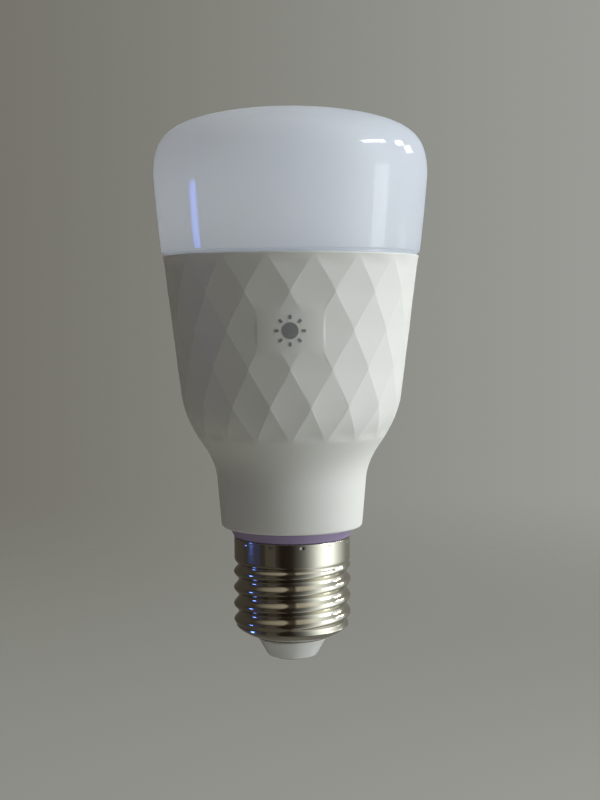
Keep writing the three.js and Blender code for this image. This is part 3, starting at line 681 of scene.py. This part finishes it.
def make_world():
    """Pale background for the camera with painted shade: darker on the left and lighter on the right,
    as if lit from the right. For lighting, a dim warm room with a paler ceiling, a dark doorway in
    front and one broad soft brightness on the right, like daylight through curtains."""
    lobe_azimuth, lobe_width, lobe_height = math.radians(75), math.radians(23), math.radians(42)
    world = bpy.data.worlds.new("room")
    bpy.context.scene.world = world
    world.use_nodes = True
    nodes, links = world.node_tree.nodes, world.node_tree.links
    output = nodes["World Output"]
    place = nodes.new("ShaderNodeTexCoord")
    split = nodes.new("ShaderNodeSeparateXYZ")
    links.new(place.outputs["Generated"], split.inputs["Vector"])
    x, y, z = (split.outputs[axis] for axis in "XYZ")

    def math_node(operation, first, second=0.0):
        node = nodes.new("ShaderNodeMath")
        node.operation = operation
        for socket, value in zip(node.inputs, (first, second)):
            if isinstance(value, (int, float)):
                socket.default_value = value
            else:
                links.new(value, socket)
        return node.outputs["Value"]

    def ramp(value, start, end, low, high):
        node = nodes.new("ShaderNodeMapRange")
        node.interpolation_type = "SMOOTHSTEP"
        for name, number in (("From Min", start), ("From Max", end), ("To Min", low), ("To Max", high)):
            node.inputs[name].default_value = number
        links.new(value, node.inputs["Value"])
        return node.outputs["Result"]

    def blend(share, first, second):
        node = nodes.new("ShaderNodeMix")
        node.data_type = "RGBA"
        links.new(share, node.inputs["Factor"])
        for name, colour in (("A", first), ("B", second)):
            if isinstance(colour, tuple):
                node.inputs[name].default_value = (*colour, 1)
            else:
                links.new(colour, node.inputs[name])
        return node.outputs["Result"]

    def sky(colour, strength=None):
        node = nodes.new("ShaderNodeBackground")
        if isinstance(colour, tuple):
            node.inputs["Color"].default_value = (*colour, 1)
        else:
            links.new(colour, node.inputs["Color"])
        if strength is not None:
            links.new(strength, node.inputs["Strength"])
        return node.outputs["Background"]

    azimuth = math_node("ARCTAN2", x, math_node("MULTIPLY", y, -1.0))
    elevation = math_node("ARCSINE", z)
    aside = math_node("DIVIDE", math_node("SUBTRACT", azimuth, lobe_azimuth), lobe_width)
    above = math_node("DIVIDE", elevation, lobe_height)
    spread = math_node("ADD", math_node("MULTIPLY", aside, aside), math_node("MULTIPLY", above, above))
    lobe = math_node("EXPONENT", math_node("MULTIPLY", spread, -0.5))

    ceiling = ramp(z, 0.6, 0.97, 0, 1)
    ground = ramp(z, -0.4, -0.9, 0, 1)
    wall_colour, ceiling_colour, ground_colour = (
        (0.046, 0.041, 0.036), (0.44, 0.405, 0.335), (0.10, 0.09, 0.075)
    )
    upright = blend(ceiling, wall_colour, ceiling_colour)
    room = blend(ground, upright, ground_colour)
    off_doorway = math_node("ABSOLUTE", math_node("ADD", azimuth, math.radians(10)))
    doorway = ramp(off_doorway, 0.19, 0.36, 1, 0)
    shaded = blend(math_node("MULTIPLY", doorway, 0.9), room, (0.02, 0.013, 0.009))
    # Painted shade on the camera's background: darker on the left and lighter on the right, as if lit
    # from the right.
    painted_shade_backdrop = blend(ramp(x, -0.3, 0.32, 0, 1), (0.17, 0.165, 0.142), (0.335, 0.34, 0.315))
    wall = blend(ramp(x, -0.5, 0.5, 0, 1), (0.07, 0.062, 0.052), (0.25, 0.25, 0.23))
    behind = blend(ramp(y, 0.1, 0.5, 0, 1), shaded, wall)
    glow = nodes.new("ShaderNodeAddShader")
    links.new(sky(behind), glow.inputs[0])
    links.new(sky((0.905, 0.975, 1.0), math_node("MULTIPLY", lobe, 2.42)), glow.inputs[1])

    path = nodes.new("ShaderNodeLightPath")
    choose = nodes.new("ShaderNodeMixShader")
    links.new(path.outputs["Is Camera Ray"], choose.inputs["Fac"])
    links.new(glow.outputs["Shader"], choose.inputs[1])
    links.new(sky(painted_shade_backdrop), choose.inputs[2])
    links.new(choose.outputs["Shader"], output.inputs["Surface"])


def window_light(name, azimuth, elevation, wide, tall, brightness, colour, distance=0.8):
    """A bright rectangle seen from the bulb at that azimuth (0 front, 90 right) and elevation.
    wide and tall are the angles that it fills, brightness its radiance."""
    a, e = math.radians(azimuth), math.radians(elevation)
    towards = Vector((math.sin(a) * math.cos(e), -math.cos(a) * math.cos(e), math.sin(e)))
    data = bpy.data.lights.new(name, "AREA")
    data.shape = "RECTANGLE"
    data.size = 2 * distance * math.tan(math.radians(wide / 2))
    data.size_y = 2 * distance * math.tan(math.radians(tall / 2))
    data.energy = brightness * math.pi * data.size * data.size_y
    data.color = colour
    light = bpy.data.objects.new(name, data)
    light.location = Vector((0, 0, MIDDLE.z)) + towards * distance
    light.rotation_mode = "QUATERNION"
    light.rotation_quaternion = towards.to_track_quat("Z", "Y")
    light.visible_camera = False
    bpy.context.scene.collection.objects.link(light)
    return light


def make_lights():
    """Panes of a window on the right and behind, and three lights that only reflections show."""
    daylight = (0.96, 0.99, 1.0)
    window_light("window_low", 80, -2, 15, 18, 2.6, daylight)
    window_light("window_high", 79, 32, 23, 5, 17.0, daylight)
    window_light("window_back", 110, 27, 11, 6, 15.0, daylight)
    window_light("window_back_low", 119, 20, 10, 6, 13.0, daylight)
    window_light("window_far", 113, -4, 12, 8, 1.2, daylight)
    gap = window_light("blue_gap", -87, -4, 8, 12, 11.0, (0.12, 0.25, 1.0))
    haze = window_light("blue_haze", -82, 0, 32, 50, 0.07, (0.12, 0.24, 1.0))
    shelf = window_light("warm_shelf", -43, 0, 22, 60, 0.045, (1.0, 0.9, 0.72))
    for light in (gap, haze, shelf):
        light.visible_diffuse = False

    # Daylight that gathers inside the closed dome and lights its far side from behind.
    gathered = bpy.data.lights.new("gathered_daylight", "POINT")
    gathered.energy = 0.01
    gathered.color = (1.0, 0.9, 0.74)
    gathered.shadow_soft_size = 12 * MM
    light = bpy.data.objects.new("gathered_daylight", gathered)
    light.location = (0, 0, (DOME_EDGE_Z + 14) * MM)
    light.visible_camera = False
    bpy.context.scene.collection.objects.link(light)


def make_camera():
    """The photograph's view: close, level with the upper neck, tilted a little down."""
    distance, aside, eye_height = 0.300, 0.002, 0.078
    pitch, roll = math.radians(-3.9), math.radians(0.25)
    data = bpy.data.cameras.new("camera")
    data.lens = 60.75
    data.sensor_width = 36
    camera = bpy.data.objects.new("camera", data)
    camera.location = (aside, -distance, eye_height)
    camera.rotation_euler = (math.pi / 2 + pitch, roll, 0)
    bpy.context.scene.collection.objects.link(camera)
    bpy.context.scene.camera = camera
    bpy.context.scene.view_settings.view_transform = "Standard"


make_floor()
make_world()
make_lights()
make_camera()
